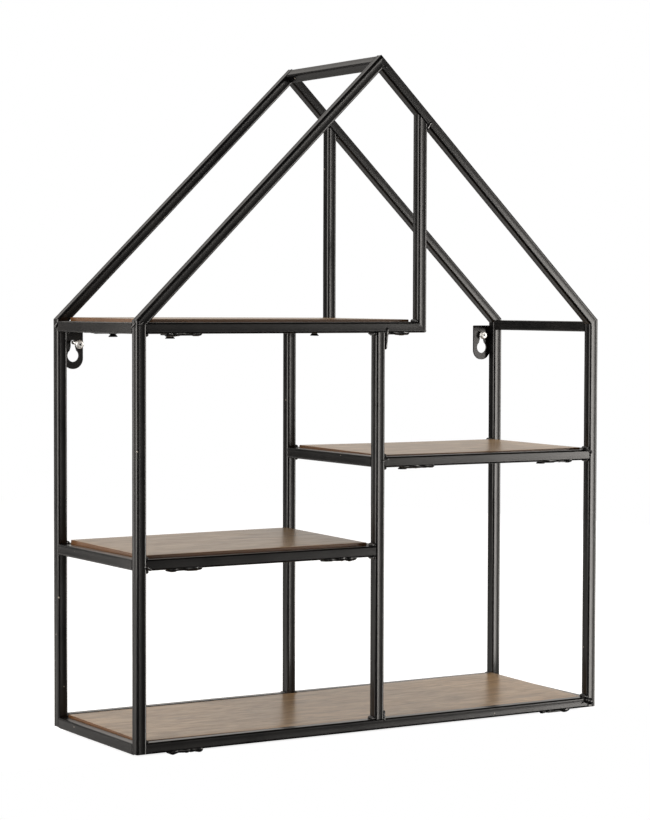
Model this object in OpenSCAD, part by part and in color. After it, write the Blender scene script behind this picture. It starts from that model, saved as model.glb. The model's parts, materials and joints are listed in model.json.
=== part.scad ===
// Wall bookcase in the outline of a house: a welded frame of square tube with a gabled
// top, four inset boards on welded tabs, and two keyhole plates that hang on wall screws.
// Millimetres. X runs across, Y from the front to the wall at Y = 0, and Z up from the
// centre line of the lowest rails.

/* [Frame] */
// Width over the corner posts
width = 530; // [480:5:620]
// Depth from the front faces to the wall
depth = 180; // [150:5:240]
// Height of the outer corners at the eaves above the underside of the frame
eave_height = 400; // [385:5:440]
// Slope of the roof in degrees
roof_slope = 44; // [38:1:50]
// Centre of the short upper post, to the right of the middle
upper_post_x = 48; // [44:1:80]

/* [Tube] */
// Outside size of the square tube
tube = 10; // [9:0.5:12]
// Thickness of the tube's wall
wall = 1; // [0.8:0.1:1.3]
// Outside radius of the tube's corners
corner_r = 1.5; // [1.5:0.1:2.2]
// Leg of the weld beads in the inner corners
bead_leg = 2.5; // [2:0.1:3.5]

/* [Shelf levels] */
// Lower left rails above the bottom rails, centre to centre
lower_left_level = 170; // [120:5:220]
// Middle right rails above the bottom rails, centre to centre
middle_right_level = 257; // [150:1:290]
// Tops of the upper left rails and eave rails below the outer corners at the eaves
eave_drop = 2; // [2:0.5:4]

/* [Boards] */
// Thickness of the boards
board_t = 12; // [10:1:16]
// Gap between a board and the tubes around it
board_gap = 2.5; // [1.5:0.5:3.5]
// Radius of a board's corners, seen from above
board_r = 0.8; // [0.5:0.1:1.5]

/* [Board tabs and screws] */
// Width of a tab
tab_w = 18; // [14:1:20]
// Thickness of a tab
tab_t = 2; // [1.5:0.5:3]
// Centres of a shelf's outer tabs from the posts beside them
tab_inset = 40; // [30:1:60]
// Screw holes in the tabs behind the front faces
screw_inset = 30; // [26:1:36]
// Diameter of a board screw's head
board_head_d = 9; // [8:0.5:9.5]
// Diameter of a board screw's shank
board_shank_d = 4; // [3:0.5:4]
// Length of shank inside a board
screw_bite = 8; // [6:1:9]

/* [Keyhole plates and wall screws] */
// Width of a keyhole plate
plate_w = 21; // [19:1:26]
// Height of a keyhole plate
plate_h = 37; // [35:1:45]
// Thickness of a keyhole plate
plate_t = 2; // [1.5:0.5:3]
// How far the right plate sits higher than the left one
plate_step = 4.5; // [0:0.5:6]
// Diameter of the entry hole
keyhole_d = 12.5; // [11:0.5:13.5]
// Width of the slot above the entry hole
slot_w = 5.4; // [4.8:0.1:6]
// Centre of the slot's round end above the centre of the entry hole
slot_rise = 12.5; // [11.5:0.5:13.5]
// Diameter of a wall screw's head
wall_head_d = 8.6; // [8:0.1:10]
// Diameter of a wall screw's shank
wall_shank_d = 4; // [3.5:0.1:4.5]
// Length of a wall screw under its head
wall_screw_l = 30; // [28:1:50]
// Gap between the left wall screw's head and its plate
left_screw_out = 14; // [2:1:18]
// Gap between the right wall screw's head and its plate
right_screw_out = 2; // [1:1:18]

/* [Hidden] */

// tube centre lines and levels
half = tube / 2;
side_x = width / 2 - half;
front_y = -depth + half;
rear_y = -half;
upper_level = eave_height - tube - eave_drop;
eave_z = eave_height - half;
apex_z = eave_z + width / 2 * tan(roof_slope);
mitre_tilt = (90 - roof_slope) / 2;
roof_drop = tube / cos(roof_slope);
ridge_z = apex_z - tube / sqrt(2);
foot_r = 2.5;

// clear spaces between the posts, as [left face, right face, level, right tab]
bay_bottom = [-side_x + half, side_x - half, 0, side_x - half - tab_inset];
bay_lower_left = [-side_x + half, -half, lower_left_level, -half - tab_inset];
bay_middle_right = [half, side_x - half, middle_right_level, side_x - half - tab_inset];
bay_upper_left = [-side_x + half, upper_post_x - half, upper_level, half + tab_w / 2 + 1];

// tabs, screws and plates
tab_back = 1;
tab_hole_d = board_shank_d + 0.5;
head_cone_h = (board_head_d - tab_hole_d) / 2 * 1.15;
head_rim_h = 0.6;
pilot_l = screw_bite + 0.5;
plate_corner_r = 1;
plate_x = side_x - half - plate_w / 2;
plate_top_left = upper_level - half;
entry_rise = 13.3;
flare_angle = 38;
slot_neck = keyhole_d / 2 + 2.5;
wall_head_h = 2.6;
seat_gap = 0.02;
screw_rise = slot_rise + (slot_w - wall_shank_d) / 2 - seat_gap;

// weld beads lie on the flat part of a tube's side, clear of the plates behind; the dip and
// the radius of their hollow faces are shares of the leg
bead_w = tube - 2 * max(corner_r, plate_t);
bead_dip = 0.13;
bead_round = 1.4;
tab_bead_leg = tab_t - 0.4;
sharp_bead_leg = 1.6 * bead_leg;

// length that reaches past every cut
past = 4 * tube;
$fn = 48;

frame_black = [0.09, 0.09, 0.10];
board_oak = [0.62, 0.52, 0.42];
zinc = [0.72, 0.74, 0.76];

// ---- square tube

module rounded_square(size, r) {
    square([size, size - 2 * r], center = true);
    square([size - 2 * r, size], center = true);
    for (x = [-1, 1], y = [-1, 1])
        translate([x, y] * (size / 2 - r)) circle(r);
}

// a tube along +Z from the origin
module tube_bar(length) {
    difference() {
        linear_extrude(length) rounded_square(tube, corner_r);
        translate([0, 0, -1]) linear_extrude(length + 2)
            rounded_square(tube - 2 * wall, corner_r - wall);
    }
}

module upright(x, y, z_from, z_to) {
    color(frame_black) translate([x, y, z_from]) tube_bar(z_to - z_from);
}

module crossbar(x_from, x_to, y, z) {
    color(frame_black) translate([x_from, y, z]) rotate([0, 90, 0]) tube_bar(x_to - x_from);
}

// front to rear, between the two frames; turn rolls the tube about its own line
module depth_bar(x, z, turn = 0) {
    color(frame_black) translate([x, rear_y - half, z]) rotate([90, 0, 0]) rotate(turn)
        tube_bar(depth - 2 * tube);
}

// everything above a plane through (x, z) that rises to the right by tilt degrees
module above(x, z, tilt, y) {
    translate([x, y, z]) rotate([0, -tilt, 0])
        translate([-past, -tube, 0]) cube([2 * past, 2 * tube, past]);
}

// underside of the roof tubes over the position x
function roof_under(x) = apex_z - roof_drop - abs(x) * tan(roof_slope);

// ---- posts, rafters and rails of one frame, drawn at a given Y

module corner_post(side, y) {
    mirror([side < 0 ? 0 : 1, 0, 0]) difference() {
        upright(-side_x, y, -half, eave_z + half);
        above(-side_x - half, eave_z, -mitre_tilt, y);
    }
}

module rafter(side, y) {
    run = width / 2 / cos(roof_slope);
    mirror([side < 0 ? 0 : 1, 0, 0]) color(frame_black) difference() {
        translate([-width / 2, y, eave_z]) rotate([0, -roof_slope, 0])
            translate([-tube, 0, -half]) rotate([0, 90, 0]) tube_bar(run + 2 * tube);
        above(-side_x - half, eave_z, 180 - mitre_tilt, y);
        above(0, apex_z, -90, y);
    }
}

module middle_post(y) {
    upright(0, y, half, upper_level - half);
}

// outer lower corner of the upper post and the upper left rail, ground round
module foot_corner(y) {
    translate([upper_post_x + half - foot_r, y, upper_level - half + foot_r])
        rotate([90, 0, 0]) difference() {
            translate([0, -past, -tube]) cube([past, past, 2 * tube]);
            cylinder(h = 4 * tube, r = foot_r, center = true);
        }
}

module upper_post(y) {
    difference() {
        upright(upper_post_x, y, upper_level - half, roof_under(upper_post_x - tube));
        above(upper_post_x, roof_under(upper_post_x), -roof_slope, y);
        above(upper_post_x, upper_level, 135, y);
        foot_corner(y);
    }
}

module upper_left_rail(y) {
    difference() {
        crossbar(-side_x + half, upper_post_x + half, y, upper_level);
        above(half - side_x, roof_under(side_x - half), roof_slope, y);
        above(upper_post_x, upper_level, -45, y);
        foot_corner(y);
    }
}

module bay_rail(bay, y) {
    crossbar(bay[0], bay[1], y, bay[2]);
}

// ---- boards, their tabs and screws

// the four tab places of a bay, two under the front rail and two under the rear one,
// each with +Y into the bay
module at_tabs(bay) {
    for (x = [bay[0] + tab_inset, bay[3]]) {
        translate([x, -depth, bay[2] - half]) children();
        translate([x, 0, bay[2] - half]) rotate(180) children();
    }
}

module board(bay) {
    size_x = bay[1] - bay[0] - 2 * board_gap;
    size_y = depth - 2 * tube - 2 * board_gap;
    color(board_oak) difference() {
        translate([(bay[0] + bay[1]) / 2, -depth / 2, bay[2] - half])
            linear_extrude(board_t) board_outline(size_x, size_y);
        at_tabs(bay) translate([0, screw_inset, -1])
            cylinder(h = pilot_l + 1, d = board_shank_d);
    }
}

module board_outline(size_x, size_y) {
    square([size_x, size_y - 2 * board_r], center = true);
    square([size_x - 2 * board_r, size_y], center = true);
    for (x = [-1, 1], y = [-1, 1])
        translate([x * (size_x / 2 - board_r), y * (size_y / 2 - board_r)]) circle(board_r);
}

module tabs(bay) {
    color(frame_black) at_tabs(bay) translate([0, 0, -tab_t]) linear_extrude(tab_t)
        difference() {
            union() {
                translate([-tab_w / 2, tab_back]) square([tab_w, screw_inset - tab_back]);
                translate([0, screw_inset]) circle(d = tab_w);
            }
            translate([0, screw_inset]) circle(d = tab_hole_d);
        }
}

module board_screws(bay) {
    color(frame_black) at_tabs(bay) translate([0, screw_inset, 0]) {
        translate([0, 0, -tab_t]) cylinder(h = tab_t + screw_bite, d = board_shank_d);
        translate([0, 0, -tab_t - head_cone_h])
            cylinder(h = head_cone_h, d1 = board_head_d, d2 = tab_hole_d);
        translate([0, 0, -tab_t - head_cone_h - head_rim_h])
            cylinder(h = head_rim_h, d = board_head_d);
    }
}

// ---- keyhole plates and wall screws

module keyhole_outline() {
    circle(d = keyhole_d);
    translate([-slot_w / 2, 0]) square([slot_w, slot_rise]);
    translate([0, slot_rise]) circle(d = slot_w);
    polygon([
        [-keyhole_d / 2 * sin(flare_angle), keyhole_d / 2 * cos(flare_angle)],
        [-slot_w / 2, slot_neck],
        [slot_w / 2, slot_neck],
        [keyhole_d / 2 * sin(flare_angle), keyhole_d / 2 * cos(flare_angle)],
        [0, 0]
    ]);
}

// square at the top with small rounds, full round at the bottom
module plate_outline() {
    translate([0, plate_w / 2]) circle(d = plate_w);
    translate([-plate_w / 2, plate_w / 2])
        square([plate_w, plate_h - plate_w / 2 - plate_corner_r]);
    translate([-plate_w / 2 + plate_corner_r, plate_w / 2])
        square([plate_w - 2 * plate_corner_r, plate_h - plate_w / 2]);
    for (x = [-1, 1])
        translate([x * (plate_w / 2 - plate_corner_r), plate_h - plate_corner_r])
            circle(plate_corner_r);
}

function plate_bottom(side) = plate_top_left - plate_h + (side < 0 ? 0 : plate_step);

module keyhole_plate(side) {
    color(frame_black) translate([side * plate_x, 0, plate_bottom(side)])
        rotate([90, 0, 0]) linear_extrude(plate_t) difference() {
            plate_outline();
            translate([0, entry_rise]) keyhole_outline();
        }
}

// pan-head screw, its shank in the top of the slot, its tip behind the wall plane
module wall_screw(side, out) {
    tip_l = wall_shank_d;
    color(zinc)
        translate([side * plate_x, -plate_t - out, plate_bottom(side) + entry_rise + screw_rise])
            rotate([-90, 0, 0]) {
                rotate_extrude() pan_head_section();
                cylinder(h = wall_screw_l - tip_l, d = wall_shank_d);
                translate([0, 0, wall_screw_l - tip_l])
                    cylinder(h = tip_l, d1 = wall_shank_d, d2 = wall_shank_d / 5);
            }
}

// half section of a pan head: a flat crown with a round shoulder, below Z = 0
module pan_head_section() {
    r = wall_head_d / 2;
    shoulder = 1.6;
    translate([0, -wall_head_h]) square([r - shoulder, wall_head_h]);
    translate([0, -wall_head_h + shoulder]) square([r, wall_head_h - shoulder]);
    translate([r - shoulder, -wall_head_h + shoulder]) circle(shoulder);
}

// ---- weld beads

// fillet with a hollow face in the corner at (x, z), toward dir_x and dir_z
module bead(x, z, dir_x, dir_z, y, leg = bead_leg) {
    face_x = leg * (1 / 2 + (bead_round - bead_dip) * cos(45));
    translate([x, y + bead_w / 2, z]) rotate([90, 0, 0]) linear_extrude(bead_w) difference() {
        polygon([[0, 0], [dir_x * leg, 0], [0, dir_z * leg]]);
        translate([dir_x, dir_z] * face_x) circle(bead_round * leg);
    }
}

// the same in the sharp corner between the upper post and the rafter, right of the post
module sharp_bead(y) {
    leg = sharp_bead_leg;
    below = (90 + roof_slope) / 2;
    face_at = leg * (sin(below) + bead_round - bead_dip);
    translate([upper_post_x + half, y + bead_w / 2, roof_under(upper_post_x + half)])
        rotate([90, 0, 0]) linear_extrude(bead_w) difference() {
            polygon([[0, 0], [0, -leg], [leg * cos(roof_slope), -leg * sin(roof_slope)]]);
            translate(face_at * [cos(below), -sin(below)]) circle(bead_round * leg);
        }
}

module frame_beads(y) {
    top = half;
    // bottom rail, and lower and middle rails above and below
    for (side = [-1, 1]) bead(side * (side_x - half), top, -side, 1, y);
    for (side = [-1, 1]) bead(side * half, top, side, 1, y);
    for (bay = [bay_lower_left, bay_middle_right], dir = [-1, 1]) {
        bead(bay[0], bay[2] + dir * half, 1, dir, y);
        bead(bay[1], bay[2] + dir * half, -1, dir, y);
    }
    // under the upper left rail, and above its right end
    bead(-side_x + half, upper_level - half, 1, -1, y);
    for (side = [-1, 1]) bead(side * half, upper_level - half, side, -1, y);
    bead(upper_post_x - half, upper_level + half, -1, 1, y);
    sharp_bead(y);
}

// both sides of each tab, under the rail that carries it
module tab_beads(bay) {
    at_tabs(bay) for (side = [-1, 1])
        bead(side * tab_w / 2, 0, side, -1, half, tab_bead_leg);
}

module weld_beads() {
    color(frame_black) {
        frame_beads(front_y);
        frame_beads(rear_y);
        for (bay = [bay_bottom, bay_lower_left, bay_middle_right, bay_upper_left])
            tab_beads(bay);
    }
}

corner_post(-1, front_y);  // front_post_left
corner_post(1, front_y);  // front_post_right
middle_post(front_y);  // front_post_middle
upper_post(front_y);  // front_post_upper
rafter(-1, front_y);  // front_rafter_left
rafter(1, front_y);  // front_rafter_right
upper_left_rail(front_y);  // front_rail_upper_left
bay_rail(bay_lower_left, front_y);  // front_rail_lower_left
bay_rail(bay_middle_right, front_y);  // front_rail_middle_right
bay_rail(bay_bottom, front_y);  // front_rail_bottom
corner_post(-1, rear_y);  // rear_post_left
corner_post(1, rear_y);  // rear_post_right
middle_post(rear_y);  // rear_post_middle
upper_post(rear_y);  // rear_post_upper
rafter(-1, rear_y);  // rear_rafter_left
rafter(1, rear_y);  // rear_rafter_right
upper_left_rail(rear_y);  // rear_rail_upper_left
bay_rail(bay_lower_left, rear_y);  // rear_rail_lower_left
bay_rail(bay_middle_right, rear_y);  // rear_rail_middle_right
bay_rail(bay_bottom, rear_y);  // rear_rail_bottom
depth_bar(0, ridge_z, 45);  // ridge_tube
depth_bar(-side_x, upper_level);  // eave_rail_left
depth_bar(side_x, upper_level);  // eave_rail_right
depth_bar(-side_x, 0);  // side_rail_bottom_left
depth_bar(side_x, 0);  // side_rail_bottom_right
depth_bar(-side_x, lower_left_level);  // side_rail_lower_left
depth_bar(0, lower_left_level);  // inner_rail_lower_left
depth_bar(side_x, middle_right_level);  // side_rail_middle_right
depth_bar(0, middle_right_level);  // inner_rail_middle_right
depth_bar(upper_post_x, upper_level);  // inner_rail_upper_left
board(bay_bottom);  // board_bottom
board(bay_lower_left);  // board_lower_left
board(bay_middle_right);  // board_middle_right
board(bay_upper_left);  // board_upper_left
tabs(bay_bottom);  // tabs_bottom
tabs(bay_lower_left);  // tabs_lower_left
tabs(bay_middle_right);  // tabs_middle_right
tabs(bay_upper_left);  // tabs_upper_left
board_screws(bay_bottom);  // screws_bottom
board_screws(bay_lower_left);  // screws_lower_left
board_screws(bay_middle_right);  // screws_middle_right
board_screws(bay_upper_left);  // screws_upper_left
keyhole_plate(-1);  // keyhole_plate_left
keyhole_plate(1);  // keyhole_plate_right
union() {  // wall_screws
    wall_screw(-1, left_screw_out);
    wall_screw(1, right_screw_out);
}
weld_beads();
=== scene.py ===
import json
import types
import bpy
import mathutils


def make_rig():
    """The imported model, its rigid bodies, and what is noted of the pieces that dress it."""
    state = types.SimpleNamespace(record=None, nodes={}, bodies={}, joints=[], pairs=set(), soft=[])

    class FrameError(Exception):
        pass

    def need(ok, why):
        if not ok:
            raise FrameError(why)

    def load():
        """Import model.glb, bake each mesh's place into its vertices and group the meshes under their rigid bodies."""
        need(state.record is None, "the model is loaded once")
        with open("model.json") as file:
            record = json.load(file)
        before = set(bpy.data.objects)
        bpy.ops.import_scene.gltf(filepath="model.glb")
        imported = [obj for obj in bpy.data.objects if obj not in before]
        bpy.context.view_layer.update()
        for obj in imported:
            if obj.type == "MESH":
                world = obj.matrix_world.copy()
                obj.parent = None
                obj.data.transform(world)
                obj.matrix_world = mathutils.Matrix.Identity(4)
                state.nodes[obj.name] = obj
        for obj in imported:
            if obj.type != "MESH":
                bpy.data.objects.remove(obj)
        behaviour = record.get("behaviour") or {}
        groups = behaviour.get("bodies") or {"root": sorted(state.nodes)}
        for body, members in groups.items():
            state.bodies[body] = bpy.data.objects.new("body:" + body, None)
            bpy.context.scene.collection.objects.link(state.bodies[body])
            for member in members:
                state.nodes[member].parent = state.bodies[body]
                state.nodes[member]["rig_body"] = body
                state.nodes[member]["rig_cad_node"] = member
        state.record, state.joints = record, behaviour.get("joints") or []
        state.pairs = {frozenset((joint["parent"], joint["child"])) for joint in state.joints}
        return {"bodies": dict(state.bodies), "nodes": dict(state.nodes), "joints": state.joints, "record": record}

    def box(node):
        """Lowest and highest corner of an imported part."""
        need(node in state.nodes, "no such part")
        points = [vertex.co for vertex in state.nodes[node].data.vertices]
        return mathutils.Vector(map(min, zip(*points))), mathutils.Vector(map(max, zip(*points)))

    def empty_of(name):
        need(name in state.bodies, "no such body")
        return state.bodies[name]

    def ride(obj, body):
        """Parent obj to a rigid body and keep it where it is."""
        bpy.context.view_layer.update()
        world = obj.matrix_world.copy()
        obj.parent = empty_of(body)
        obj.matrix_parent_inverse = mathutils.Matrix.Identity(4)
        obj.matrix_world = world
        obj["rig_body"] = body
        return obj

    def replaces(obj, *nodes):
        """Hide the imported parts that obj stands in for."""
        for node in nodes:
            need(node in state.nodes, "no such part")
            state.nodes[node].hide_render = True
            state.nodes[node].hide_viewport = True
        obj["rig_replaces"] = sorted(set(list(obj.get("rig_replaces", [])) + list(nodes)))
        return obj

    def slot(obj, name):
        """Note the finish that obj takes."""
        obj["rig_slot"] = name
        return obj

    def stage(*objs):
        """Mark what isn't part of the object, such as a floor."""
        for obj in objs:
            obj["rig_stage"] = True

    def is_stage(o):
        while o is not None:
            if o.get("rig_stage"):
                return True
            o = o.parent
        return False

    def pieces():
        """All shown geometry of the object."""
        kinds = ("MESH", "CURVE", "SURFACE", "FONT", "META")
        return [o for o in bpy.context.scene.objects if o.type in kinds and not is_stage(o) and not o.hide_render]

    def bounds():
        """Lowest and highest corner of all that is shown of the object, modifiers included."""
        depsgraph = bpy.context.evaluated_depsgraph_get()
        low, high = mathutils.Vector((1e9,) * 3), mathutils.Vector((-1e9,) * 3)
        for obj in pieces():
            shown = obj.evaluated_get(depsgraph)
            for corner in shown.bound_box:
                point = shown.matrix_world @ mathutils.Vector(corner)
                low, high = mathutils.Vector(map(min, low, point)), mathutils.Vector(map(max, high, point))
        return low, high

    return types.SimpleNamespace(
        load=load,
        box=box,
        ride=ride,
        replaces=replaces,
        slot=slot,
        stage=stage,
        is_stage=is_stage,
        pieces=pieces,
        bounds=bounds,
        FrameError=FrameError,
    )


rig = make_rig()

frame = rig.load()

import json
import math

import bpy
import numpy as np
from mathutils import Euler, Matrix, Vector

mm = 0.001
tiny = 0.001    # mm, keeps a division by a length of zero away
scene = bpy.context.scene
sizeLog = open("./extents.json", "w")


def logSize():
    low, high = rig.bounds()
    sizeLog.write(json.dumps([list(low), list(high)]) + "\n")


logSize()
print("frame loaded:", len(frame["nodes"]), "nodes")

# camera: fitted to the tube edges, turned 31 degrees from the front
cameraSetup = {
    "place": (-1250.84, -2130.73, 412.95),   # mm
    "yaw": 0.54681,                          # radians from straight ahead to the right
    "pitch": 0.045443,                       # radians down
    "roll": -0.0028273,
    "lens": 104.72,                          # mm, on a frame 36 mm high
    "frameHeight": 36.0,
}


def makeCamera(c):
    data = bpy.data.cameras.new("shelfCamera")
    data.sensor_fit = "VERTICAL"
    data.sensor_height = c["frameHeight"]
    data.lens = c["lens"]
    yaw, pitch, roll = c["yaw"], c["pitch"], c["roll"]
    ahead = Vector((math.sin(yaw) * math.cos(pitch), math.cos(yaw) * math.cos(pitch),
                    -math.sin(pitch)))
    right = Vector((math.cos(yaw), -math.sin(yaw), 0))
    down = ahead.cross(right)
    rolledRight = right * math.cos(roll) + down * math.sin(roll)
    rolledDown = down * math.cos(roll) - right * math.sin(roll)
    turn = Matrix((rolledRight, -rolledDown, -ahead)).transposed()
    camera = bpy.data.objects.new("shelfCamera", data)
    camera.matrix_world = Matrix.Translation(Vector(c["place"]) * mm) @ turn.to_4x4()
    scene.collection.objects.link(camera)
    scene.camera = camera


makeCamera(cameraSetup)
print("camera placed")


def hexColor(text):
    def linear(c):
        return c / 12.92 if c <= 0.04045 else ((c + 0.055) / 1.055) ** 2.4
    return tuple(linear(int(text[i:i + 2], 16) / 255) for i in (1, 3, 5)) + (1,)


# adds a node; in links, a node stands for its first output
def addNode(tree, kind, settings=None, values=None, links=None):
    node = tree.nodes.new(kind)
    for key, value in (settings or {}).items():
        setattr(node, key, value)
    for key, value in (values or {}).items():
        node.inputs[key].default_value = value
    for key, source in (links or {}).items():
        if isinstance(source, bpy.types.Node):
            source = source.outputs[0]
        tree.links.new(source, node.inputs[key])
    return node


def newMaterial(name):
    material = bpy.data.materials.new(name)
    material.use_nodes = True
    material.node_tree.nodes.clear()
    return material, material.node_tree


def closeMaterial(tree, shader):
    addNode(tree, "ShaderNodeOutputMaterial", links={"Surface": shader})


def nodeBox(name):
    low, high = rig.box(name)
    return np.array(low) / mm, np.array(high) / mm


def newShape(name, inputs):
    tree = bpy.data.node_groups.new(name, "GeometryNodeTree")
    tree.interface.new_socket(name="Geometry", in_out="INPUT", socket_type="NodeSocketGeometry")
    for label, kind in inputs.items():
        tree.interface.new_socket(name=label, in_out="INPUT", socket_type="NodeSocket" + kind)
    tree.interface.new_socket(name="Geometry", in_out="OUTPUT", socket_type="NodeSocketGeometry")
    return tree, tree.nodes.new("NodeGroupInput").outputs


def closeShape(tree, geometry, material):
    real = addNode(tree, "GeometryNodeRealizeInstances", links={0: geometry})
    painted = addNode(tree, "GeometryNodeSetMaterial", links={0: real, "Material": material})
    addNode(tree, "NodeGroupOutput", links={0: painted})


def baseMesh(name, points, edges=(), attributes=None):
    mesh = bpy.data.meshes.new(name)
    mesh.from_pydata([tuple(float(c) * mm for c in p) for p in points], list(edges), [])
    for key, numbers in (attributes or {}).items():
        numbers = np.array(numbers, float)
        kind = "FLOAT_VECTOR" if numbers.ndim == 2 else "FLOAT"
        layer = mesh.attributes.new(key, kind, "POINT")
        layer.data.foreach_set("vector" if numbers.ndim == 2 else "value", numbers.ravel())
    return mesh


# runs a tree on a base mesh and keeps the result as a plain mesh
def growPiece(name, base, tree, values, wallThickness=0.0):
    piece = bpy.data.objects.new(name, base)
    scene.collection.objects.link(piece)
    shape = piece.modifiers.new(tree.name, "NODES")
    shape.node_group = tree
    for item in tree.interface.items_tree:
        if item.in_out == "INPUT" and item.name in values:
            shape[item.identifier] = values[item.name]
    if wallThickness:
        shell = piece.modifiers.new("wall", "SOLIDIFY")
        shell.thickness = wallThickness
        shell.offset = -1
        shell.use_even_offset = True
    ready = piece.evaluated_get(bpy.context.evaluated_depsgraph_get())
    mesh = bpy.data.meshes.new_from_object(ready)
    piece.modifiers.clear()
    piece.data = mesh
    return piece


# black lacquer sprayed on roll-formed steel tube: a satin film a little thinner on the corners,
# where it turns brown-grey, with the steel's drawing lines showing through as faint streaks
tubePaint = {
    "film": "#070708",
    "thinFilm": "#131110",
    "nick": "#8d867c",
    "roughLow": 0.28,       # of the body of the film
    "roughHigh": 0.36,
    "bodyGloss": 0.22,
    "skin": 0.62,           # share and roughness of its glossier skin
    "skinRough": 0.18,
    "ior": 1.5,
    "streakMm": 1.1,        # width of a drawing line
    "streakLengthMm": 45.0,
    "streakBump": 0.07,
    "cloudMm": 42.0,
    "thinFrom": (0.22, 0.42),    # where in the pattern the film starts to be thin, and is
    "peelMm": 2.2,          # orange peel, drawn coarser than its real 0.6 mm so that it shows
    "peelBump": 0.06,
    "bumpMm": 0.03,
    "nickGapMm": 22.5,      # from one nick to the next
    "nickEdge": (0.045, 0.03),   # soft edge of a nick, as shares of that gap
}


def makeTubePaint(p):
    material, tree = newMaterial("blackLacquerOnRolledTube")
    place = addNode(tree, "ShaderNodeAttribute",
                    {"attribute_name": "tubePlace"}).outputs["Vector"]
    drawn = addNode(tree, "ShaderNodeMapping",
                    values={"Scale": (1, 1, p["streakMm"] / p["streakLengthMm"])},
                    links={"Vector": place})
    streak = addNode(tree, "ShaderNodeTexNoise",
                     values={"Scale": 1 / (p["streakMm"] * mm), "Detail": 3.0},
                     links={"Vector": drawn})
    cloud = addNode(tree, "ShaderNodeTexNoise",
                    values={"Scale": 1 / (p["cloudMm"] * mm), "Detail": 4.0},
                    links={"Vector": place})
    both = addNode(tree, "ShaderNodeMath", {"operation": "MULTIPLY"},
                   links={0: streak.outputs["Fac"], 1: cloud.outputs["Fac"]})
    thin = addNode(tree, "ShaderNodeMapRange",
                   values={"From Min": p["thinFrom"][0], "From Max": p["thinFrom"][1]},
                   links={"Value": both})
    tone = addNode(tree, "ShaderNodeMix", {"data_type": "RGBA"},
                   {6: hexColor(p["film"]), 7: hexColor(p["thinFilm"])}, {0: thin})
    grit = addNode(tree, "ShaderNodeTexVoronoi", values={"Scale": 1 / (p["nickGapMm"] * mm)},
                   links={"Vector": place})
    nick = addNode(tree, "ShaderNodeMapRange",
                   values={"From Min": p["nickEdge"][0], "From Max": p["nickEdge"][1]},
                   links={"Value": grit.outputs["Distance"]})
    colored = addNode(tree, "ShaderNodeMix", {"data_type": "RGBA"}, {7: hexColor(p["nick"])},
                      {0: nick, 6: tone.outputs[2]})
    rough = addNode(tree, "ShaderNodeMapRange",
                    values={"From Min": 0.35, "From Max": 0.65,
                            "To Min": p["roughLow"], "To Max": p["roughHigh"]},
                    links={"Value": cloud.outputs["Fac"]})
    peel = addNode(tree, "ShaderNodeTexNoise",
                   values={"Scale": 1 / (p["peelMm"] * mm), "Detail": 1.5},
                   links={"Vector": place})
    lines = addNode(tree, "ShaderNodeBump",
                    values={"Strength": p["streakBump"], "Distance": p["bumpMm"] * mm},
                    links={"Height": streak.outputs["Fac"]})
    bump = addNode(tree, "ShaderNodeBump",
                   values={"Strength": p["peelBump"], "Distance": p["bumpMm"] * mm},
                   links={"Height": peel.outputs["Fac"], "Normal": lines.outputs["Normal"]})
    shader = addNode(tree, "ShaderNodeBsdfPrincipled",
                     values={"IOR": p["ior"], "Specular IOR Level": p["bodyGloss"],
                             "Coat Weight": p["skin"], "Coat Roughness": p["skinRough"],
                             "Coat IOR": p["ior"]},
                     links={"Base Color": colored.outputs[2], "Roughness": rough,
                            "Normal": bump.outputs["Normal"],
                            "Coat Normal": bump.outputs["Normal"]})
    closeMaterial(tree, shader)
    return material


# square tube as the rolls leave it: its sides slightly hollow, its line wandering a little
tubeShape = {
    "size": 10.0,
    "paint": 0.3,           # what lacquer and rolling tolerance add to each side
    "cornerRadius": 1.9,
    "wall": 1.0,
    "hollow": 0.17,         # depth of the hollow in a side
    "cornerSteps": 6,
    "sideSteps": 6,
    "ringGap": 9.0,
    "sharpAngle": 40,       # degrees
    "wander": 0.24,         # from side to side
    "wanderLength": 70.0,
    "seedStep": 0.41,       # m, how far each tube is moved on in the noise and the paint
    "footRadius": 2.5,      # ground corner where the upper post meets its rail
    "footRings": 60,        # on the tubes that meet there, gathered towards the foot
    "footCrowding": 2.0,
    # the frame was welded a little out of true: how much higher each end of a tube sits, mm
    "rise": {"rear_rail_bottom": (1.8, 1.8), "side_rail_bottom_left": (-1.1, -1.0),
             "side_rail_bottom_right": (-1.4, -1.2), "front_rail_middle_right": (-0.3, -0.8)},
}


def tubeSection(t):
    half = t["size"] / 2 + t["paint"]
    flat = half - t["cornerRadius"]
    points = []
    for quarter in range(4):
        spin = math.radians(90 * quarter)
        corner = [(flat + t["cornerRadius"] * math.cos(f), flat + t["cornerRadius"] * math.sin(f))
                  for f in np.linspace(0, math.pi / 2, t["cornerSteps"] + 1)]
        side = [(flat * f, half - t["hollow"] * (1 - f * f))
                for f in np.linspace(1, -1, t["sideSteps"] + 1)[1:-1]]
        for a, b in corner + side:
            points.append((a * math.cos(spin) - b * math.sin(spin),
                           a * math.sin(spin) + b * math.cos(spin), 0))
    edges = [(i, (i + 1) % len(points)) for i in range(len(points))]
    return baseMesh("tubeSection", points, edges, {"section": np.array(points) * mm})


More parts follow.
